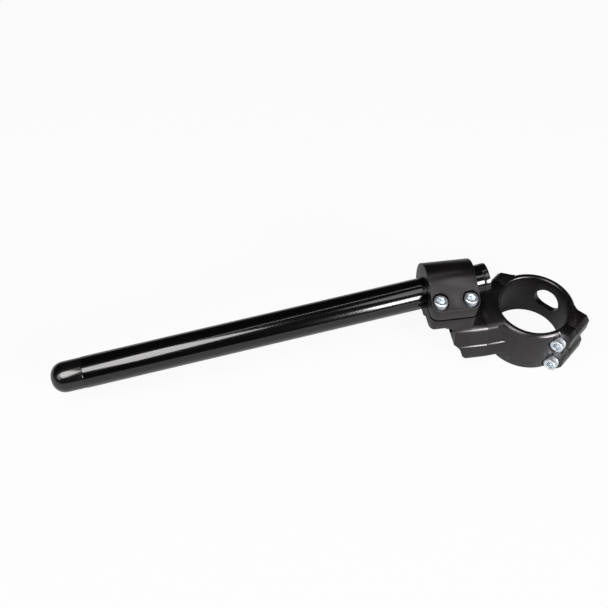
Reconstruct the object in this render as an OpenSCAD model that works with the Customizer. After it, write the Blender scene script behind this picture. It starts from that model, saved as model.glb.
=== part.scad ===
// Clip-on handlebar for one fork leg: a split fork clamp with an arm, a riser that carries
// a pinch clamp, and a straight bar with an end cap and a plug.
// Millimetres. Z runs up the fork leg, and z = 0 is the clamp's lower face. The bar points
// towards -X, and the rider's side of the clamp faces -Y.

/* [Fork clamp] */
// Diameter of the fork tube that the clamp grips
fork_d = 52; // [50:0.5:54]
// Height of the clamp along the fork
clamp_h = 38.5; // [37:0.5:42]
// Wall of the ring
ring_wall = 4; // [3.6:0.1:6]
// Turn of the parting line away from the bar's line, in degrees
split_turn = -54; // [-60:1:-48]
// Gap between the body and the cap
split_gap = 0.8; // [0.4:0.1:1.6]
// Chamfer on the bore's two rims
bore_chamfer = 0.5; // [0.3:0.1:1]
// Chamfer on the outer rims of the ring
rim_chamfer = 1.2; // [0.6:0.1:2]

/* [Ears] */
// Radial clearance between the fork's bore and the screws' holes at the ears
ear_web = 0.8; // [0.6:0.1:2]
// Metal between the front screws' axes and the ears' outer face
front_edge = 7.1; // [6:0.1:9]
// Thickness of the body's front ear, from the parting plane to the screw seat
front_seat = 9.6; // [9:0.1:12]
// Thickness of the cap's front ear
front_cap_ear = 16.8; // [16:0.2:20]
// How far the ears' chamfers cut in from the outer face
ear_chamfer_in = 3; // [1:0.2:4]
// How far the ears' upper chamfer cuts down from the top
ear_chamfer_down = 3.7; // [1:0.2:5]
// How far the ears' lower chamfer cuts up from the bottom
ear_chamfer_up = 4.6; // [1:0.2:6]
// Height of the groove in the ears' outer face
ear_groove_h = 14; // [8:0.5:16]
// Depth of the groove in the ears' outer face
ear_groove_depth = 2; // [0.6:0.2:2.4]
// Height of the bevels of that groove
ear_groove_bevel = 3; // [1:0.5:4]
// Distance between the two front screws
front_screw_pitch = 22.4; // [20:0.1:23]
// How far the front screws' middle lies below the clamp's mid height
front_screw_drop = 1.5; // [0:0.1:1.6]
// Metal between the rear screw's axis and the upper edge of the rear face
rear_edge = 5; // [3.6:0.1:6]
// How far the rear face's upper chamfer reaches out
rear_chamfer_out = 2; // [1:0.1:3]
// How far the rear face's upper chamfer cuts down
rear_chamfer_down = 2.5; // [1:0.1:4]
// Thickness of the cap's rear ear at its outer edge, and the seat of its screw
rear_seat = 9.6; // [9:0.1:12]
// Slope of the cap's rear ear towards the ring, in degrees
rear_slope = 26.5; // [20:0.5:30]
// Radius of the hollows between the cap's ears and its ring
ear_hollow_r = 6; // [4:0.5:8]

/* [Cap window] */
// Width of the window in the cap
window_w = 20.2; // [19:0.2:22]
// Height of the window in the cap
window_h = 18.2; // [12:0.2:18.8]
// How far the window's middle lies above the clamp's mid height
window_rise = 0.4; // [0:0.1:1]

/* [Arm] */
// Distance from the fork's axis to the joint between the arm and the riser
joint_x = 40.3; // [39:0.1:44]
// Place of the arm's front face at the top
arm_front_y = -13.1; // [-14:0.1:-12.6]
// Place of the arm's rear face
arm_rear_y = 15.9; // [15:0.1:18]
// How far the arm's front leans out at its foot
arm_lean = 6.6; // [4:0.2:8]
// Height of the arm's lower face
arm_floor_z = 9; // [7:0.5:11]
// Round on the arm's upper front edge
arm_top_round = 5; // [1.5:0.5:5]
// Round on the arm's lower front edge
arm_foot_round = 4; // [3:0.5:7]
// Round on the arm's rear edges
arm_rear_round = 2; // [0.5:0.5:3]
// Depth of the shallow step along the front
front_step = 0.6; // [0.2:0.1:1]
// Height of that step
step_z = 23.3; // [20:0.1:26]
// Radius of the hollow between the arm's front and the ring
arm_fillet = 10; // [6:1:14]

/* [Riser] */
// Turn of the riser against the bar's line, in degrees
riser_turn = 4.5; // [0:0.5:5]
// Length of the riser's foot, from the joint
riser_foot_l = 23.4; // [22:0.2:26]
// Height at which the slanted lower end begins
slant_z = 26; // [23:0.5:26]
// How far the slanted lower end runs in under the riser
slant_in = 12.4; // [9:0.2:14]
// Radius of the hollow between the riser's foot and the saddle's underside
riser_fillet = 7; // [4:0.5:8]

/* [Bar clamp] */
// Diameter of the bar
bar_d = 22.2; // [22:0.1:22.4]
// Distance from the joint to the bar clamp's inboard end
clamp_inset = 7.6; // [7:0.1:10]
// Length of the bar clamp
bar_clamp_l = 34.5; // [33:0.1:37]
// Wall of the bar clamp round the bar
bar_clamp_wall = 8; // [6.5:0.1:9]
// Place of the bar's axis at the middle of the bar clamp, behind the fork's axis
bar_y = 17.7; // [17:0.1:18.4]
// Height of the bar's axis at the middle of the bar clamp
bar_z = 53.3; // [53:0.1:56]
// Drop of the bar towards its tip, in degrees
bar_drop = 5.55; // [4:0.05:6.5]
// Slope of the bar clamp's upper front face, in degrees
lip_slope = 27; // [22:0.5:28]
// Place of the bar clamp's front face
clamp_front_y = -12; // [-12.6:0.1:-11.4]
// Height of the saddle's underside
saddle_z = 41; // [40.5:0.1:41.4]
// Width of the pinch slit
slit_h = 1.6; // [0.8:0.1:2]
// How far the pinch slit lies below the bar's axis
slit_drop = 2.1; // [0:0.1:3]
// Round on the bar clamp's upright front corners
corner_r = 5.5; // [3:0.5:6]
// Round on the saddle's lower front edge
saddle_round = 1.5; // [1:0.5:3]
// Chamfer at the mouths of the bar's bore
mouth_chamfer = 0.6; // [0.3:0.1:1]
// Distance between the two pinch screws
pinch_pitch = 21.8; // [20:0.1:23]
// Metal between the pinch screws' axes and the front face
pinch_edge = 6.7; // [6.4:0.1:7.4]
// Depth of the pinch screws' seats below the fold of the front face
pinch_seat = 1.2; // [0.6:0.1:2]
// Space round the pinch screws' heads in their spot faces
pinch_clear = 1; // [0.4:0.1:1.2]
// Depth of the pinch screws' tapped holes past the screws' tips
pinch_hole_past = 3; // [2.5:0.5:5]

/* [Bar] */
// Length of the bar's tube
tube_l = 287; // [250:0.5:320]
// Wall of the bar's tube
tube_wall = 3; // [2:0.1:4]
// Distance from the fork's axis to the bar's inboard end
bar_end_x = 34.1; // [32:0.1:37]
// Length of the end cap beyond the tube
end_cap_l = 22.5; // [16:0.5:30]
// Radius of the end cap's rounded end
end_cap_round = 9.5; // [5:0.5:10.5]
// Step from the tube down to the end cap
end_cap_step = 0.3; // [0.1:0.1:0.6]
// Length of the end cap's stem inside the tube
end_cap_stem = 18; // [10:1:30]
// Length of the rim of the plug at the tube's inboard end
plug_rim_l = 4.6; // [2:0.1:6]
// Length of the plug's stem inside the tube
plug_stem = 10; // [6:1:20]

/* [Screws] */
// Thread diameter of all the screws
screw_d = 6; // [5:0.5:6]
// Diameter of the screws' heads
head_d = 10; // [9:0.5:10]
// Height of the screws' heads
head_h = 6; // [5:0.5:6]
// Width across the flats of the sockets
socket_af = 5; // [4:0.5:5]
// Depth of the sockets
socket_depth = 3; // [2:0.5:4]
// Space round a head in its pocket
head_clear = 0.5; // [0.3:0.1:0.6]
// Space round a shank in its clearance hole
shank_clear = 0.3; // [0.2:0.1:0.5]
// Space round a thread in its tapped hole
thread_clear = 0.05; // [0.02:0.01:0.1]
// Space round the bar in its bore and round the stems in the tube
tube_clear = 0.05; // [0.02:0.01:0.1]
// Length of the front and rear clamp screws below the head
clamp_screw_l = 20; // [18:1:22]
// Length of the pinch screws below the head
pinch_screw_l = 16; // [14:1:16]
// Length of the riser screws below the head
riser_screw_l = 25; // [24:1:27]
// Space past a screw's tip in its blind hole
tip_space = 1.5; // [1:0.5:2]
// Distance between the two riser screws
riser_screw_pitch = 11.4; // [11.2:0.1:12]
// Height of the riser screws
riser_screw_z = 31.5; // [30:0.5:32]
// Depth of the riser screws' seats below the riser's outboard face
riser_screw_seat = 8; // [7:0.5:9]

/* [Hidden] */
$fn = 96;
eps = 0.01;
sink = 0.04;
far = 200;
slant_line = [[0, 0, 0], [0.39, 0.27, 6], [0.58, 0.68, 2], [1, 1, 0]];
fork_r = fork_d / 2;
ring_r = fork_r + ring_wall;
mid_z = clamp_h / 2;
screw_r = screw_d / 2;
hole_r = screw_r + shank_clear;
thread_r = screw_r + thread_clear;
pocket_r = head_d / 2 + head_clear;
ear_screw_r = fork_r + ear_web + hole_r;
front_reach = ear_screw_r + front_edge;
rear_top = ear_screw_r + rear_edge;
rear_reach = rear_top + rear_chamfer_out;
rear_tail = (arm_rear_y + rear_top * sin(split_turn)) / cos(split_turn);
arm_mid_y = arm_front_y - arm_lean * (clamp_h - step_z) / (clamp_h - arm_floor_z);
arm_foot_y = arm_front_y - arm_lean;
bar_r = bar_d / 2;
bore_r = bar_r + tube_clear;
bar_clamp_r = bar_r + bar_clamp_wall;
clamp_in = -clamp_inset;
clamp_out = -clamp_inset - bar_clamp_l;
clamp_mid = (clamp_in + clamp_out) / 2;
bar_mid_x = -joint_x + (clamp_mid + bar_y * sin(riser_turn)) / cos(riser_turn);
saddle_y = bar_y * cos(riser_turn) + (bar_mid_x + joint_x) * sin(riser_turn);
top_y = saddle_y - (bar_clamp_r - sink) * sin(lip_slope);
top_z = bar_z + (bar_clamp_r - sink) * cos(lip_slope);
fold_z = top_z - (top_y - clamp_front_y) * tan(lip_slope);
pinch_y = clamp_front_y + pinch_edge;
pinch_seat_z = fold_z - pinch_seat;
slit_z = bar_z - slit_drop;
riser_screw_y = (arm_rear_y + pinch_y) / 2 - 2;
tube_bore_r = bar_r - tube_wall;
stem_r = tube_bore_r - tube_clear;
tube_start = (bar_mid_x + bar_end_x) / cos(bar_drop) + plug_rim_l;

// Unit vector from a to b
function unit(a, b) = (b - a) / norm(b - a);

// Points of the arc that rounds corner b between a and c with radius r
function round_corner(a, b, c, r, steps = 8) =
    let (u = unit(b, a), w = unit(b, c), half = acos(u * w) / 2,
        centre = b + unit([0, 0], u + w) * r / sin(half), swing = 180 - 2 * half,
        from = b + u * r / tan(half) - centre, to = b + w * r / tan(half) - centre)
    [for (i = [0 : steps])
        centre + (from * sin(swing - swing * i / steps) + to * sin(swing * i / steps)) / sin(swing)];

// Outline from corners [x, y, radius], where a radius of 0 keeps the corner sharp
function outline(corners) = [for (i = [0 : len(corners) - 1])
    let (n = len(corners), b = corners[i], a = corners[(i + n - 1) % n], c = corners[(i + 1) % n])
    each b[2] > 0 ? round_corner([a[0], a[1]], [b[0], b[1]], [c[0], c[1]], b[2]) : [[b[0], b[1]]]];

// Turns the children, drawn with x along the parting line and y towards the cap
module in_split() rotate([0, 0, split_turn]) children();

// Places the children, drawn with x = 0 at the joint, along the riser's own line
module in_riser() translate([-joint_x, 0, 0]) rotate([0, 0, -riser_turn]) children();

// Places the children with z along the bar's axis towards the tip, from the middle of its clamp
module on_bar() translate([bar_mid_x, bar_y, bar_z]) rotate([0, -90 - bar_drop, 0]) children();

// Extrudes a section, drawn as [y, z], along X from x0 to x1
module along_x(x0, x1) translate([x0, 0, 0]) rotate([90, 0, 90]) linear_extrude(x1 - x0) children();

// Extrudes a section, drawn as [x, z], along Y from y0 to y1
module along_y(y0, y1) translate([0, y1, 0]) rotate([90, 0, 0]) linear_extrude(y1 - y0) children();

// Rod across the parting line at x, z, from y0 to y1
module cross_rod(x, z, y0, y1, r) translate([x, y0, z]) rotate([-90, 0, 0]) cylinder(r = r, h = y1 - y0);

// Everything past the parting gap, side 1 for the cap and -1 for the body
module half_space(side)
    translate([-far, side > 0 ? split_gap / 2 : -far - split_gap / 2, -far]) cube([2 * far, far, 2 * far]);

// Ring before it is bored, with chamfered rims
module ring_blank() rotate_extrude() polygon([[0, 0], [ring_r - rim_chamfer, 0], [ring_r, rim_chamfer],
    [ring_r, clamp_h - rim_chamfer], [ring_r - rim_chamfer, clamp_h], [0, clamp_h]]);

// Bore for the fork tube with its chamfered rims
module fork_bore() rotate_extrude() polygon([[0, -eps], [fork_r + bore_chamfer + eps, -eps],
    [fork_r, bore_chamfer], [fork_r, clamp_h - bore_chamfer],
    [fork_r + bore_chamfer + eps, clamp_h + eps], [0, clamp_h + eps]]);

// Front ears from y0 to y1 with the groove in their outer face
module front_ear(y0, y1) {
    groove_lo = mid_z - ear_groove_h / 2;
    groove_hi = mid_z + ear_groove_h / 2;
    groove_x = front_reach - ear_groove_depth;
    along_y(y0, y1) polygon([[fork_r, 0], [front_reach - ear_chamfer_in, 0],
        [front_reach, ear_chamfer_up], [front_reach, groove_lo],
        [groove_x, groove_lo + ear_groove_bevel], [groove_x, groove_hi - ear_groove_bevel / 2],
        [front_reach, groove_hi], [front_reach, clamp_h - ear_chamfer_down],
        [front_reach - ear_chamfer_in, clamp_h], [fork_r, clamp_h]]);
}

// Rear ear from y0 to y1 with its chamfered edges, reaching inwards to x = inner
module rear_ear(y0, y1, inner = -fork_r) along_y(y0, y1) polygon([[inner, 0], [-rear_top, 0],
    [-rear_reach, rear_chamfer_down], [-rear_reach, clamp_h - rear_chamfer_down],
    [-rear_top, clamp_h], [inner, clamp_h]]);

// Where the cap's rear ear ends, at the given x
function rear_face(x) = rear_seat + (x + rear_top) * tan(rear_slope);

// Point p turned by a degrees about the ring's axis
function turned(p, a) = [p[0] * cos(a) - p[1] * sin(a), p[0] * sin(a) + p[1] * cos(a)];

// Axis of the hollow between the ring and an ear's face at the given offset from the ring's
// axis, on the given side
function ear_hollow_axis(offset, side) =
    [side * sqrt(pow(ring_r + ear_hollow_r, 2) - pow(offset + ear_hollow_r, 2)), offset + ear_hollow_r];

// Arc of that hollow from the ear to the ring, where the ear's face is turned by slope degrees
function ear_hollow_arc(offset, side, slope) =
    let (c = ear_hollow_axis(offset, side), swing = atan2(-c[1], -c[0]) + 90)
    [for (i = [0 : 8]) let (a = swing * i / 8 - 90)
        turned(c + (ear_hollow_r + sink) * [cos(a), sin(a)], slope)];

// Cap's rear ear with its sloping face and the hollow beside the ring
module cap_rear_ear() intersection() {
    rear_ear(0, fork_r);
    linear_extrude(clamp_h) polygon(concat([[-rear_reach, 0], [-rear_reach, rear_face(-rear_reach)]],
        ear_hollow_arc(rear_top * sin(rear_slope) + rear_seat * cos(rear_slope), -1, rear_slope),
        [[-fork_r, rear_face(-fork_r)], [-fork_r, 0]]));
}

// Metal behind the hollow between the ring and the cap's front ear
module front_hollow() {
    axis = ear_hollow_axis(front_cap_ear, 1);
    linear_extrude(clamp_h) polygon(concat(ear_hollow_arc(front_cap_ear, 1, 0),
        [axis * (fork_r + 1) / norm(axis), [axis[0], front_cap_ear - 2]]));
}

// Heights of the two front screws, from the bottom
function front_screw_z(i) = mid_z - front_screw_drop + (i - 0.5) * front_screw_pitch;

// Section of the arm and of the riser's foot across their length
function arm_section() = outline([[arm_rear_y, arm_floor_z, arm_rear_round],
    [arm_rear_y, clamp_h, arm_rear_round], [arm_front_y, clamp_h, arm_top_round], [arm_mid_y, step_z, 0],
    [arm_mid_y - front_step, step_z - front_step, 0], [arm_foot_y, arm_floor_z, arm_foot_round]]);

// Where the hollow beside the arm has its axis, for a front face at the given y
function hollow_axis(y) = [-sqrt(pow(ring_r + arm_fillet, 2) - pow(arm_fillet - y, 2)), y - arm_fillet];

// Corners of the metal behind that hollow
function hollow_backing(y) = let (c = hollow_axis(y))
    [[c[0], y + 1], [c[0], y], c * ring_r / norm(c), [-fork_r + 6, y + 1]];

// Metal in the corner between the arm's front face and the ring
module arm_corner() {
    low = hollow_axis(arm_foot_y);
    high = hollow_axis(arm_front_y);
    rise = clamp_h - arm_floor_z;
    axis = [high[0] - low[0], high[1] - low[1], rise];
    difference() {
        hull() {
            translate([0, 0, arm_floor_z]) linear_extrude(eps) polygon(hollow_backing(arm_foot_y));
            translate([0, 0, clamp_h - rim_chamfer]) linear_extrude(eps) polygon(hollow_backing(arm_front_y));
        }
        translate([low[0], low[1], arm_floor_z])
            rotate([0, acos(axis[2] / norm(axis)), atan2(axis[1], axis[0])])
            translate([0, 0, -10]) cylinder(r = arm_fillet, h = norm(axis) + 20);
    }
}

// Arm from the ring to the joint, trimmed by the rear ear's face
module arm() {
    intersection() {
        along_x(-joint_x, -fork_r + 6) polygon(arm_section());
        in_split() rear_ear(-far, -split_gap / 2, far);
    }
    arm_corner();
}

module fork_clamp_body() color("#1c1c1e") difference() {
    union() {
        in_split() intersection() {
            union() {
                ring_blank();
                front_ear(-front_seat, 0);
                rear_ear(rear_tail, 0);
            }
            half_space(-1);
        }
        arm();
    }
    fork_bore();
    in_split() {
        for (i = [0, 1]) {
            cross_rod(ear_screw_r, front_screw_z(i), -far, split_gap, hole_r);
            cross_rod(ear_screw_r, front_screw_z(i), -far, -front_seat, pocket_r);
        }
        cross_rod(-ear_screw_r, mid_z, rear_seat - clamp_screw_l - tip_space, split_gap, thread_r);
    }
    in_riser() riser_screw_places() translate([0, 0, -far]) cylinder(r = thread_r,
        h = far + riser_screw_l - (riser_foot_l - riser_screw_seat) + tip_space);
}

module fork_clamp_cap() color("#1c1c1e") difference() {
    in_split() intersection() {
        union() {
            ring_blank();
            front_ear(0, front_cap_ear);
            cap_rear_ear();
            front_hollow();
        }
        half_space(1);
    }
    fork_bore();
    in_split() {
        for (i = [0, 1])
            cross_rod(ear_screw_r, front_screw_z(i), 0, clamp_screw_l - front_seat + tip_space, thread_r);
        cross_rod(-ear_screw_r, mid_z, 0, far, hole_r);
        cross_rod(-ear_screw_r, mid_z, rear_seat, far, pocket_r);
        cap_window();
    }
}

// Window through the cap, with round ends
module cap_window() {
    side = (window_w - window_h) / 2;
    window_z = mid_z + window_rise;
    for (x = [-side, side])
        cross_rod(x, window_z, fork_r / 2, far, window_h / 2);
    translate([-side, fork_r / 2, window_z - window_h / 2 + sink]) cube([2 * side, far, window_h - 2 * sink]);
}

// Puts the children at the riser screws' axes, with z pointing into the arm
module riser_screw_places()
    for (i = [-0.5, 0.5])
        translate([0, riser_screw_y + i * riser_screw_pitch, riser_screw_z]) rotate([0, 90, 0]) children();

// Foot of the riser with its slanted lower end
module riser_foot() intersection() {
    in_riser() intersection() {
        along_x(-riser_foot_l, 5) polygon(arm_section());
        along_y(-far, far) polygon(outline(concat([[-riser_foot_l + slant_in, 0, 0], [5, 0, 0],
            [5, far, 0], [-riser_foot_l, far, 0]], [for (p = slant_line)
            [-riser_foot_l + slant_in * p[0], slant_z + (arm_floor_z - slant_z) * p[1], p[2]]])));
    }
    translate([-joint_x - far, -far, 0]) cube([far, 2 * far, far]);
}

// Neck between the foot and the saddle, with the hollow under the overhang
module riser_neck() along_y(clamp_front_y, saddle_y) polygon(concat(
    [[clamp_in, saddle_z + saddle_round], [clamp_in, slant_z], [-riser_foot_l, slant_z]],
    round_corner([-riser_foot_l, slant_z], [-riser_foot_l, saddle_z], [-far, saddle_z], riser_fillet),
    [[-riser_foot_l - riser_fillet, saddle_z + saddle_round]]));

// Saddle and cap of the bar clamp in one block
module clamp_block() intersection() {
    along_x(clamp_out, clamp_in) union() {
        translate([saddle_y, bar_z]) circle(r = bar_clamp_r);
        polygon(outline([[saddle_y, saddle_z, 0], [saddle_y, bar_z, 0], [top_y, top_z, 0],
            [clamp_front_y, fold_z, 0], [clamp_front_y, saddle_z, saddle_round]]));
    }
    linear_extrude(far) polygon(outline([[clamp_in, far, 0], [clamp_out, far, 0],
        [clamp_out, clamp_front_y, corner_r], [clamp_in, clamp_front_y, corner_r]]));
}

module riser_clamp() color("#1e1e20") difference() {
    union() {
        riser_foot();
        in_riser() {
            intersection() {
                riser_neck();
                linear_extrude(far) polygon(outline([[clamp_in, far, 0], [clamp_out, far, 0],
                    [clamp_out, clamp_front_y, 0], [clamp_in, clamp_front_y, corner_r]]));
            }
            clamp_block();
        }
    }
    on_bar() {
        cylinder(r = bore_r, h = far, center = true);
        for (end = [-1, 1])
            translate([0, 0, end * bar_clamp_l / 2])
            cylinder(r1 = bore_r + (end < 0 ? 2 : 0) * mouth_chamfer,
                r2 = bore_r + (end > 0 ? 2 : 0) * mouth_chamfer, h = 2 * mouth_chamfer, center = true);
    }
    in_riser() {
        translate([clamp_out - 1, -far, slit_z - slit_h / 2])
            cube([bar_clamp_l + 2, far + saddle_y, slit_h]);
        pinch_places() {
            cylinder(r = head_d / 2 + pinch_clear, h = far);
            translate([0, 0, slit_z - pinch_seat_z]) cylinder(r = hole_r, h = far);
            translate([0, 0, -pinch_screw_l - pinch_hole_past]) cylinder(r = thread_r, h = pinch_screw_l);
        }
        riser_screw_places() {
            translate([0, 0, -far]) cylinder(r = hole_r, h = far + 1);
            translate([0, 0, -far]) cylinder(r = pocket_r - 0.1, h = far - riser_foot_l + riser_screw_seat);
        }
    }
}

// Puts the children at the seats of the pinch screws
module pinch_places(sides = [-1, 1])
    for (side = sides)
        translate([clamp_mid + side * pinch_pitch / 2, pinch_y, pinch_seat_z]) children();

module handlebar_tube() color("#0c0c0d") on_bar() translate([0, 0, tube_start]) difference() {
    cylinder(r = bar_r, h = tube_l);
    translate([0, 0, -1]) cylinder(r = tube_bore_r, h = tube_l + 2);
}

module bar_end_cap() color("#1a1a1b") on_bar() translate([0, 0, tube_start + tube_l + eps]) rotate_extrude()
    polygon(concat([[0, 0], [0, -end_cap_stem], [stem_r, -end_cap_stem], [stem_r, 0]],
        outline([[bar_r - end_cap_step, 0, 0], [bar_r - end_cap_step, end_cap_l, end_cap_round],
            [0, end_cap_l, 0]])));

module inboard_plug() color("#141415") on_bar() translate([0, 0, tube_start - plug_rim_l]) union() {
    cylinder(r = bar_r, h = plug_rim_l);
    cylinder(r = stem_r, h = plug_rim_l + plug_stem);
}

// Socket head screw with its seat at z = 0, its head above and its shank below
module screw(shank) color("#c9ccd0") difference() {
    union() {
        translate([0, 0, -shank]) cylinder(r = screw_r, h = shank + eps);
        cylinder(r = head_d / 2, h = head_h);
    }
    translate([0, 0, head_h - socket_depth]) cylinder(r = socket_af / sqrt(3), h = socket_depth + 1, $fn = 6);
}

module front_screw(i) in_split()
    translate([ear_screw_r, -front_seat, front_screw_z(i)]) rotate([90, 0, 0]) screw(clamp_screw_l);
module front_screw_lower() front_screw(0);
module front_screw_upper() front_screw(1);
module rear_screw() in_split()
    translate([-ear_screw_r, rear_seat, mid_z]) rotate([-90, 0, 0]) screw(clamp_screw_l);
module pinch_screw_outboard() in_riser() pinch_places([-1]) screw(pinch_screw_l);
module pinch_screw_inboard() in_riser() pinch_places([1]) screw(pinch_screw_l);
module riser_screw(i) in_riser()
    translate([-riser_foot_l + riser_screw_seat, riser_screw_y + i * riser_screw_pitch, riser_screw_z])
    rotate([0, -90, 0]) screw(riser_screw_l);
module riser_screw_front() riser_screw(-0.5);
module riser_screw_rear() riser_screw(0.5);

fork_clamp_body();
fork_clamp_cap();
riser_clamp();
handlebar_tube();
bar_end_cap();
inboard_plug();
front_screw_upper();
front_screw_lower();
rear_screw();
pinch_screw_outboard();
pinch_screw_inboard();
riser_screw_front();
riser_screw_rear();
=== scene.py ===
"""Dresses a clip-on handlebar for one fork leg: machined clamps, socket screws and a bar."""

import logging
import math
from dataclasses import dataclass
from enum import Enum

import bpy
from mathutils import Matrix, Vector


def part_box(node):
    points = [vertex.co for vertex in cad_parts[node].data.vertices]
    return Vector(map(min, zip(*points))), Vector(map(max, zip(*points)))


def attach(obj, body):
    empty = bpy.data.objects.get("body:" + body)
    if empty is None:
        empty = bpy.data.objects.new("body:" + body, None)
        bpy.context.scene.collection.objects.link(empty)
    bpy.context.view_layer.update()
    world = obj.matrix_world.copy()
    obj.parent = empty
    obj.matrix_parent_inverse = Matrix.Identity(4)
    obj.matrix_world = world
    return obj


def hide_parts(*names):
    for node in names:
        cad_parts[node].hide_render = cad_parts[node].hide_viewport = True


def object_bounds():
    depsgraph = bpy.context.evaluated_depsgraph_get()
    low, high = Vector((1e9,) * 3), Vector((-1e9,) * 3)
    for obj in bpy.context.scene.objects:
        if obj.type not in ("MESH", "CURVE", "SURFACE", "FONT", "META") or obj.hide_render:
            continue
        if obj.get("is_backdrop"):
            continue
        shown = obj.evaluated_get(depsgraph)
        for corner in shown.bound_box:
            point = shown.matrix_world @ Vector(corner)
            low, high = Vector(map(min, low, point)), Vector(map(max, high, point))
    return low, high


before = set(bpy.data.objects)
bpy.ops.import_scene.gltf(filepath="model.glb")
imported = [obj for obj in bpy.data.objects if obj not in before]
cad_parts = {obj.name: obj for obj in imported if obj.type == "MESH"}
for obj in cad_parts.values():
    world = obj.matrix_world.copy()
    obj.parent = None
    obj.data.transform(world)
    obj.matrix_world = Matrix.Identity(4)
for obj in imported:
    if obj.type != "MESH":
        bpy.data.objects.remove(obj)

log = logging.getLogger("clip_on")
MM = 0.001
WHITE = (1, 1, 1, 1)
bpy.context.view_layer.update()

Triple = tuple[float, float, float]
Pair = tuple[float, float]

# Shares of a pitch, from the middle of a pair of screws to each of them
SIDES: Pair = (-0.5, 0.5)


class Slot(Enum):
    """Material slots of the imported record."""

    ANODISED = "black_anodised"
    TUBE = "gloss_black_tube"
    CAP = "satin_black_cap"
    ZINC = "zinc_screw"


class Value:
    """A number socket in a node tree that can be used in Python sums."""

    def __init__(self, graph: "Graph", socket: bpy.types.NodeSocket) -> None:
        """Wraps the output socket that carries the number."""
        self.graph = graph
        self.socket = socket

    def _math(self, operation: str, first: object, second: object) -> "Value":
        """Adds one Math node for two numbers or links and gives its result."""
        made = self.graph.node("ShaderNodeMath", {"operation": operation}, {0: first, 1: second})
        return Value(self.graph, made.outputs[0])

    def __add__(self, other: object) -> "Value":
        """Sum."""
        return self._math("ADD", self, other)

    def __radd__(self, other: object) -> "Value":
        """Sum, with the number first."""
        return self._math("ADD", other, self)

    def __mul__(self, other: object) -> "Value":
        """Product."""
        return self._math("MULTIPLY", self, other)

    def __rmul__(self, other: object) -> "Value":
        """Product, with the number first."""
        return self._math("MULTIPLY", other, self)


class Graph:
    """Builds the node tree of one material or of the world."""

    def __init__(self, owner: bpy.types.Material | bpy.types.World) -> None:
        """Empties the owner's node tree.

        Args:
            owner: What the tree belongs to.
        """
        owner.use_nodes = True
        self.owner = owner
        self.tree = owner.node_tree
        self.tree.nodes.clear()

    def node(self, kind: str, settings: dict, values: dict) -> bpy.types.Node:
        """Adds a node.

        Args:
            kind: The node's type.
            settings: Its properties, set first, with a ramp's places and greys under "stops".
            values: Numbers or links for its input sockets, by name or place.

        Returns:
            The new node.
        """
        made = self.tree.nodes.new(kind)
        for key, setting in settings.items():
            if key == "stops":
                for element, (position, grey) in zip(made.color_ramp.elements, setting):
                    element.position = position
                    element.color = (grey, grey, grey, 1)
            else:
                setattr(made, key, setting)
        for key, value in values.items():
            if isinstance(value, Value):
                value = value.socket
            if isinstance(value, bpy.types.NodeSocket):
                self.tree.links.new(value, made.inputs[key])
            else:
                made.inputs[key].default_value = value
        return made

    def camera_ray(self) -> Value:
        """Gives 1 on a ray from the camera and 0 on any other."""
        return Value(self, self.node("ShaderNodeLightPath", {}, {}).outputs["Is Camera Ray"])

    def noise(self, per_metre: float, detail: float, stretch: Triple) -> Value:
        """Adds a noise pattern on Object coordinates.

        Args:
            per_metre: How many features there are in a metre.
            detail: The noise's detail.
            stretch: Scale of the coordinates along each axis.

        Returns:
            The pattern's value from 0 to 1.
        """
        place = self.node("ShaderNodeTexCoord", {}, {}).outputs["Object"]
        scaled = self.node("ShaderNodeMapping", {}, {"Vector": place, "Scale": stretch}).outputs[0]
        pattern = {"Vector": scaled, "Scale": per_metre, "Detail": detail}
        return Value(self, self.node("ShaderNodeTexNoise", {}, pattern).outputs["Fac"])

    def blend(self, factor: object, first: Triple, second: Triple) -> bpy.types.NodeSocket:
        """Mixes two colours, with the factor as the second one's share, and gives the colour socket."""
        colours = {0: factor, 6: (*first, 1), 7: (*second, 1)}
        return self.node("ShaderNodeMix", {"data_type": "RGBA"}, colours).outputs[2]


@dataclass(frozen=True)
class Finish:
    """One surface finish: its two colours, its gloss, and its blotches and grain per metre."""

    name: str
    dark: Triple
    light: Triple
    rough: Pair
    specular: float
    tint: Triple
    blotches: float
    grains: float
    bump: float
    metallic: float = 0.0
    coat: float = 0.0
    stretch: Triple = (1, 1, 1)

    BLOTCH_DETAIL = 4.0
    GRAIN_DETAIL = 3.0
    BLOTCH_SHARE = 0.6
    GRAIN_SHARE = 0.4
    MARK_STOPS = ((0.35, 0.0), (0.65, 1.0))
    RELIEF = 0.02 * MM
    COAT_ROUGHNESS = 0.05

    def material(self) -> bpy.types.Material:
        """Builds the material.

        Returns:
            The new material.
        """
        g = Graph(bpy.data.materials.new(self.name))
        blotch = g.noise(self.blotches, self.BLOTCH_DETAIL, self.stretch)
        grain = g.noise(self.grains, self.GRAIN_DETAIL, self.stretch)
        marks = g.node("ShaderNodeValToRGB", {"stops": self.MARK_STOPS}, {"Fac": blotch}).outputs[0]
        smooth, coarse = self.rough
        wear = blotch * self.BLOTCH_SHARE + grain * self.GRAIN_SHARE
        relief = {"Strength": self.bump, "Distance": self.RELIEF, "Height": grain}
        shader = g.node("ShaderNodeBsdfPrincipled", {}, {
            "Base Color": g.blend(marks, self.dark, self.light),
            "Metallic": self.metallic,
            "Roughness": smooth + (coarse - smooth) * wear,
            "Specular IOR Level": self.specular,
            "Specular Tint": (*self.tint, 1),
            "Coat Weight": self.coat,
            "Coat Roughness": self.COAT_ROUGHNESS,
            "Normal": g.node("ShaderNodeBump", {}, relief).outputs[0],
        })
        g.node("ShaderNodeOutputMaterial", {}, {"Surface": shader.outputs[0]})
        return g.owner


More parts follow.
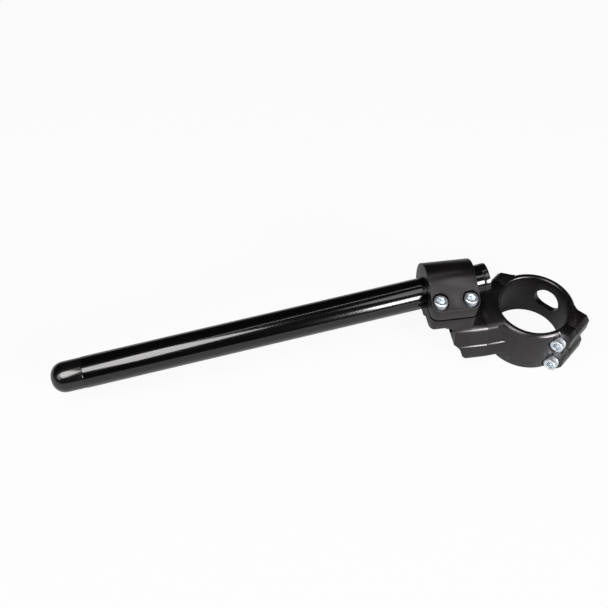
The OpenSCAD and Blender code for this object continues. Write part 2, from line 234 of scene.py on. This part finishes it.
FINISHES: dict[Slot, Finish] = {
    Slot.ANODISED: Finish(
        "black_anodised", dark=(0.0014, 0.0012, 0.0013), light=(0.0030, 0.0025, 0.0028),
        rough=(0.27, 0.34), specular=0.62, tint=(1.0, 0.93, 0.97),
        blotches=90.0, grains=5200.0, bump=0.35),
    Slot.TUBE: Finish(
        "gloss_black_tube", dark=(0.0006, 0.0005, 0.0006), light=(0.0012, 0.0010, 0.0012),
        rough=(0.12, 0.18), specular=0.5, tint=(1.0, 0.97, 0.99), coat=0.3,
        blotches=160.0, grains=3000.0, bump=0.10, stretch=(0.06, 1, 1)),
    Slot.CAP: Finish(
        "satin_black_cap", dark=(0.0016, 0.0014, 0.0016), light=(0.0032, 0.0028, 0.0031),
        rough=(0.15, 0.22), specular=0.75, tint=(1.0, 0.98, 0.96),
        blotches=140.0, grains=4200.0, bump=0.25),
    Slot.ZINC: Finish(
        "zinc_screw", dark=(0.66, 0.71, 0.76), light=(0.86, 0.91, 0.95),
        rough=(0.34, 0.46), specular=0.5, tint=(1.0, 1.0, 1.0), metallic=1.0,
        blotches=700.0, grains=4000.0, bump=0.15),
}


class Workbench:
    """Runs Blender's tools on one piece at a time, as by hand."""

    MERGE_GAP = 0.002 * MM
    FLAT_ANGLE = math.radians(0.5)
    EDGE_ANGLE = math.radians(24)
    SMOOTH_ANGLE = math.radians(32)
    EDGE_SEGMENTS = 3

    def __init__(self) -> None:
        """Makes the finishes."""
        self.materials = {slot: finish.material() for slot, finish in FINISHES.items()}

    @staticmethod
    def pick(piece: bpy.types.Object) -> None:
        """Selects one piece alone and makes it active.

        Args:
            piece: The piece.
        """
        bpy.ops.object.select_all(action="DESELECT")
        piece.select_set(True)
        bpy.context.view_layer.objects.active = piece

    @staticmethod
    def lay_out(name: str, mesh: bpy.types.Mesh) -> bpy.types.Object:
        """Puts a copy of a mesh in the scene.

        Args:
            name: The new piece's name.
            mesh: The mesh to copy.

        Returns:
            The new piece.
        """
        piece = bpy.data.objects.new(name, mesh.copy())
        bpy.context.scene.collection.objects.link(piece)
        return piece

    def stand_for(self, piece: bpy.types.Object, node: str, slot: Slot) -> None:
        """Gives a finished piece its finish and hands it to the frame in a CAD node's place.

        Args:
            piece: The finished piece.
            node: The CAD node that it stands for.
            slot: The record's slot.
        """
        piece.data.materials.clear()
        piece.data.materials.append(self.materials[slot])
        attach(piece, "root")
        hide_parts(node)
        log.info("%s: %d faces", piece.name, len(piece.data.polygons))

    def broken_edges(self, node: str, name: str, width: float, slot: Slot) -> None:
        """Copies a CAD node's shape, breaks its edges and smooths its curved faces.

        Args:
            node: The CAD node.
            name: The new piece's name.
            width: Width of the broken edges, in metres.
            slot: The record's slot.
        """
        piece = self.lay_out(name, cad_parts[node].data)
        self.pick(piece)
        bpy.ops.mesh.customdata_custom_splitnormals_clear()
        bpy.ops.object.mode_set(mode="EDIT")
        bpy.ops.mesh.select_all(action="SELECT")
        bpy.ops.mesh.remove_doubles(threshold=self.MERGE_GAP)
        bpy.ops.mesh.dissolve_limited(angle_limit=self.FLAT_ANGLE)
        bpy.ops.object.mode_set(mode="OBJECT")
        bevel = piece.modifiers.new("edge", "BEVEL")
        bevel.width = width
        bevel.segments = self.EDGE_SEGMENTS
        bevel.limit_method = "ANGLE"
        bevel.angle_limit = self.EDGE_ANGLE
        bevel.use_clamp_overlap = True
        bpy.ops.object.modifier_apply(modifier="edge")
        bpy.ops.object.shade_smooth_by_angle(angle=self.SMOOTH_ANGLE)
        self.stand_for(piece, node, slot)

    def turned_bar(self, name: str, profile: list[Pair], sides: int) -> bpy.types.Object:
        """Turns a round piece about Z from one end of its profile to the other.

        Args:
            name: The piece's name.
            profile: Radius and height of each ring, in metres.
            sides: Number of sides round the piece.

        Returns:
            The piece, closed at both ends.
        """
        bpy.ops.object.select_all(action="DESELECT")
        radius, height = profile[0]
        bpy.ops.mesh.primitive_circle_add(
            vertices=sides, radius=radius, fill_type="NGON", location=(0, 0, height))
        piece = bpy.context.object
        piece.name = name
        bpy.ops.object.transform_apply(location=True, rotation=True, scale=True)
        bpy.ops.object.mode_set(mode="EDIT")
        bpy.ops.mesh.select_all(action="SELECT")
        for next_radius, next_height in profile[1:]:
            rise = (0, 0, next_height - height)
            bpy.ops.mesh.extrude_region_move(TRANSFORM_OT_translate={"value": rise})
            share = next_radius / radius
            bpy.ops.transform.resize(value=(share, share, 1), center_override=(0, 0, next_height))
            radius, height = next_radius, next_height
        bpy.ops.mesh.select_all(action="SELECT")
        bpy.ops.mesh.normals_make_consistent(inside=False)
        bpy.ops.object.mode_set(mode="OBJECT")
        return piece


@dataclass
class SocketScrew:
    """A socket head screw with a knurled head, a hexagon socket and a cut thread.

    The knurl's lower end lies between two rings at the heights knurl_low, and its upper end
    between two rings that lie knurl_high below the top of the head.
    """

    bench: Workbench
    head_r: float = 5.0 * MM
    head_h: float = 6.0 * MM
    head_foot: float = 0.35 * MM
    shoulder: Pair = (0.15 * MM, 0.35 * MM)
    crown: float = 0.7 * MM
    knurl_low: Pair = (0.9 * MM, 1.2 * MM)
    knurl_high: Pair = (1.1 * MM, 0.75 * MM)
    knurl_share: float = 0.965
    thread_r: float = 3.0 * MM
    root_r: float = 2.55 * MM
    pitch: float = 1.0 * MM
    tip_share: float = 0.9
    tip_h: float = 0.3 * MM
    thread_start: float = 0.8 * MM
    thread_end: float = 1.6 * MM
    neck: Pair = (0.9 * MM, 0.02 * MM)
    socket_sides: int = 6
    socket_af: float = 5.0 * MM
    socket_depth: float = 3.0 * MM
    socket_step: float = 0.05 * MM
    drill_depth: float = 0.9 * MM
    floor_share: float = 0.92
    mouth_h: float = 0.25 * MM
    mouth_over: float = 0.15 * MM
    mouth_share: float = 1.16
    sides: int = 96

    SMOOTH_ANGLE = math.radians(28)

    def profile(self, length: float) -> list[Pair]:
        """Works out the screw's rings from its tip to the top of its head.

        Args:
            length: Length below the head.

        Returns:
            Radius and height of each ring.
        """
        rings = [(self.root_r * self.tip_share, -length), (self.root_r, -length + self.tip_h)]
        z = -length + self.thread_start
        while z < -self.thread_end:
            rings += [(self.thread_r, z), (self.root_r, z + self.pitch / 2)]
            z += self.pitch
        rings += [(self.thread_r, -depth) for depth in self.neck]
        rings += [(self.head_r - self.head_foot, 0.0), (self.head_r, self.head_foot)]
        rings += [(self.head_r, height) for height in self.knurl_low]
        rings += [(self.head_r, self.head_h - depth) for depth in self.knurl_high]
        inset, drop = self.shoulder
        return rings + [(self.head_r - inset, self.head_h - drop), (self.head_r - self.crown, self.head_h)]

    def knurl(self, piece: bpy.types.Object) -> None:
        """Presses the flutes into the side of the head.

        Args:
            piece: The screw.
        """
        low = sum(self.knurl_low) / 2
        high = self.head_h - sum(self.knurl_high) / 2
        step = 2 * math.pi / self.sides
        for vertex in piece.data.vertices:
            place = round(math.atan2(vertex.co.y, vertex.co.x) / step)
            vertex.select = low < vertex.co.z < high and place % 2 == 0
        for part in (*piece.data.edges, *piece.data.polygons):
            part.select = False
        bpy.ops.object.mode_set(mode="EDIT")
        bpy.ops.mesh.select_mode(type="VERT")
        share = self.knurl_share
        bpy.ops.transform.resize(value=(share, share, 1), center_override=(0, 0, 0))
        bpy.ops.object.mode_set(mode="OBJECT")

    def socket(self, piece: bpy.types.Object) -> None:
        """Cuts the hexagon socket with a coned floor.

        Args:
            piece: The screw.
        """
        corner = self.socket_af / math.sqrt(3)
        floor = self.head_h - self.socket_depth
        rings = [(self.socket_step, floor - self.drill_depth), (corner * self.floor_share, floor),
            (corner, floor + self.socket_step), (corner, self.head_h - self.mouth_h),
            (corner * self.mouth_share, self.head_h + self.mouth_over)]
        cutter = self.bench.turned_bar("socket_cutter", rings, self.socket_sides)
        self.bench.pick(piece)
        cut = piece.modifiers.new("socket", "BOOLEAN")
        cut.operation = "DIFFERENCE"
        cut.solver = "EXACT"
        cut.object = cutter
        bpy.ops.object.modifier_apply(modifier="socket")
        bpy.data.objects.remove(cutter)

    def fit(self, length: float, places: dict[str, Matrix]) -> None:
        """Models a screw with its seat at the origin, and puts a copy where each CAD node is.

        Args:
            length: Length below the head.
            places: From the screw's own frame to the row frame, by CAD node.
        """
        pattern = self.bench.turned_bar("screw", self.profile(length), self.sides)
        self.knurl(pattern)
        self.socket(pattern)
        bpy.ops.object.shade_smooth_by_angle(angle=self.SMOOTH_ANGLE)
        for node, place in places.items():
            piece = self.bench.lay_out(f"{node}_knurled", pattern.data)
            piece.data.transform(place)
            self.bench.stand_for(piece, node, Slot.ZINC)
        bpy.data.objects.remove(pattern)


def turn(axis: str, degrees: float) -> Matrix:
    """Works out a turn about X, Y or Z."""
    return Matrix.Rotation(math.radians(degrees), 4, axis)


def shift(x: float, y: float, z: float) -> Matrix:
    """Works out a move that is given in millimetres."""
    return Matrix.Translation((x * MM, y * MM, z * MM))


@dataclass
class ForkClamp:
    """The split fork clamp with its three screws. Sizes are in millimetres."""

    bench: Workbench
    screws: SocketScrew
    split_turn: float = -54.0
    screw_r: float = 30.1
    seat: float = 9.6
    mid_z: float = 19.25
    front_mid_z: float = 17.75
    front_pitch: float = 22.4
    front_twist: float = 12.0
    screw_l: float = 20.0
    edge: float = 0.5

    def build(self) -> None:
        """Makes the body, the cap and the screws."""
        for node in ("fork_clamp_body", "fork_clamp_cap"):
            self.bench.broken_edges(node, f"{node}_milled", self.edge * MM, Slot.ANODISED)
        split = turn("Z", self.split_turn)
        facing_rider = turn("X", 90) @ turn("Z", self.front_twist)
        places = {}
        for node, side in zip(("front_screw_lower", "front_screw_upper"), SIDES):
            height = self.front_mid_z + side * self.front_pitch
            places[node] = split @ shift(self.screw_r, -self.seat, height) @ facing_rider
        places["rear_screw"] = split @ shift(-self.screw_r, self.seat, self.mid_z) @ turn("X", -90)
        self.screws.fit(self.screw_l * MM, places)


@dataclass
class Riser:
    """The riser with its pinch clamp and four screws. Sizes are in millimetres."""

    bench: Workbench
    screws: SocketScrew
    joint_x: float = 40.3
    riser_turn: float = 4.5
    clamp_mid: float = -24.85
    pinch_pitch: float = 21.8
    pinch_y: float = -5.3
    pinch_l: float = 16.0
    pinch_twists: Pair = (10.0, 25.0)
    foot_seat: float = -15.4
    foot_mid_y: float = 3.3
    foot_pitch: float = 11.4
    foot_z: float = 31.5
    foot_l: float = 25.0
    edge: float = 0.5

    def build(self) -> None:
        """Makes the clamp block and the screws."""
        self.bench.broken_edges("riser_clamp", "riser_clamp_milled", self.edge * MM, Slot.ANODISED)
        in_riser = shift(-self.joint_x, 0, 0) @ turn("Z", -self.riser_turn)
        places = {}
        pinch_nodes = ("pinch_screw_outboard", "pinch_screw_inboard")
        for node, side, twist in zip(pinch_nodes, SIDES, self.pinch_twists):
            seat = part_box(node)[1][2] / MM - self.screws.head_h / MM
            x = self.clamp_mid + side * self.pinch_pitch
            places[node] = in_riser @ shift(x, self.pinch_y, seat) @ turn("Z", twist)
        self.screws.fit(self.pinch_l * MM, places)
        places = {}
        for node, side in zip(("riser_screw_front", "riser_screw_rear"), SIDES):
            y = self.foot_mid_y + side * self.foot_pitch
            places[node] = in_riser @ shift(self.foot_seat, y, self.foot_z) @ turn("Y", -90)
        self.screws.fit(self.foot_l * MM, places)


@dataclass
class Bar:
    """The straight bar with its end cap and its plug. Sizes are in millimetres."""

    bench: Workbench
    edge: float = 0.25

    def build(self) -> None:
        """Makes the tube, the end cap and the plug."""
        width = self.edge * MM
        self.bench.broken_edges("handlebar_tube", "bar_tube_turned", width, Slot.TUBE)
        self.bench.broken_edges("bar_end_cap", "bar_end_cap_turned", width, Slot.CAP)
        self.bench.broken_edges("inboard_plug", "bar_plug_turned", width, Slot.CAP)


@dataclass(frozen=True)
class SoftBox:
    """A lamp with a broad soft front. Its place and its two sides are in metres."""

    name: str
    place: Triple
    sides: Pair
    watts: float

    def hang(self, aim: Vector) -> None:
        """Hangs the lamp.

        Args:
            aim: The point that it faces.
        """
        light = bpy.data.lights.new(self.name, "AREA")
        light.shape = "RECTANGLE"
        light.size, light.size_y = self.sides
        light.energy = self.watts
        lamp = bpy.data.objects.new(self.name, light)
        bpy.context.scene.collection.objects.link(lamp)
        place = Vector(self.place)
        lamp.location = place
        lamp.rotation_euler = (aim - place).to_track_quat("-Z", "Y").to_euler()


SOFT_BOXES = (
    SoftBox("front_box", place=(0.6, -1.25, 0.7), sides=(0.8, 0.5), watts=38.0),
    SoftBox("side_box", place=(-1.2, -0.4, 0.8), sides=(0.7, 0.7), watts=4.0),
    SoftBox("top_box", place=(-0.62, -0.34, 0.95), sides=(0.6, 0.6), watts=11.0),
    SoftBox("top_strip", place=(-0.2, 0.14, 1.05), sides=(1.3, 0.04), watts=0.8),
    SoftBox("clamp_box", place=(0.22, -0.28, 1.0), sides=(0.45, 0.35), watts=1.3),
)


@dataclass
class Studio:
    """The floor, the lamps and the camera, whose place is in metres and whose turn is in degrees."""

    aim: Triple = (-0.12, 0.0, 0.02)
    air: float = 0.02
    floor_side: float = 8.0
    floor_gap: float = 0.02 * MM
    floor_tone: float = 0.44
    floor_glow: float = 0.93
    focal_px: float = 1012.25
    picture_px: float = 608.0
    sensor_mm: float = 36.0
    clip_start: float = 0.01
    camera_place: Triple = (-0.292742, -0.406518, 0.603569)
    camera_turn: Triple = (39.16542, -1.91933, -13.89539)

    def floor(self) -> None:
        """Lays a pale floor that shows white to the camera and keeps a faint shadow."""
        bpy.ops.object.select_all(action="DESELECT")
        bpy.ops.mesh.primitive_plane_add(size=self.floor_side, location=(0, 0, 0))
        plane = bpy.context.object
        plane.name = "floor"
        plane.data.transform(Matrix.Translation((0, 0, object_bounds()[0][2] - self.floor_gap)))
        g = Graph(bpy.data.materials.new("pale_floor"))
        matt = g.node("ShaderNodeBsdfDiffuse", {}, {"Color": (self.floor_tone,) * 3 + (1,)})
        glow = g.node("ShaderNodeEmission", {}, {"Color": WHITE, "Strength": 1.0})
        shares = {0: g.camera_ray() * self.floor_glow, 1: matt.outputs[0], 2: glow.outputs[0]}
        mix = g.node("ShaderNodeMixShader", {}, shares)
        g.node("ShaderNodeOutputMaterial", {}, {"Surface": mix.outputs[0]})
        plane.data.materials.append(g.owner)
        plane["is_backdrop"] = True

    def air_light(self) -> None:
        """Lights the air evenly and shows it white to the camera."""
        g = Graph(bpy.data.worlds.new("air"))
        levels = {"Value": g.camera_ray(), "To Min": self.air, "To Max": 1.0}
        strength = g.node("ShaderNodeMapRange", {}, levels).outputs["Result"]
        back = g.node("ShaderNodeBackground", {}, {"Color": WHITE, "Strength": strength})
        g.node("ShaderNodeOutputWorld", {}, {0: back.outputs[0]})
        bpy.context.scene.world = g.owner

    def camera(self) -> None:
        """Puts the camera where the photograph was taken from."""
        data = bpy.data.cameras.new("camera")
        data.sensor_width = self.sensor_mm
        data.lens = self.focal_px / self.picture_px * self.sensor_mm
        data.clip_start = self.clip_start
        camera = bpy.data.objects.new("camera", data)
        bpy.context.scene.collection.objects.link(camera)
        camera.location = self.camera_place
        camera.rotation_euler = [math.radians(angle) for angle in self.camera_turn]
        bpy.context.scene.camera = camera

    def build(self) -> None:
        """Sets up the studio."""
        bpy.context.scene.view_settings.view_transform = "Standard"
        self.floor()
        self.air_light()
        for box in SOFT_BOXES:
            box.hang(Vector(self.aim))
        self.camera()


def main() -> None:
    """Builds the handlebar and the studio."""
    logging.basicConfig(level=logging.INFO, format="%(name)s %(message)s")
    bench = Workbench()
    screws = SocketScrew(bench)
    for assembly in (ForkClamp(bench, screws), Riser(bench, screws), Bar(bench)):
        assembly.build()
        log.info("%s done", type(assembly).__name__)
    Studio().build()


if __name__ == "__main__":
    main()
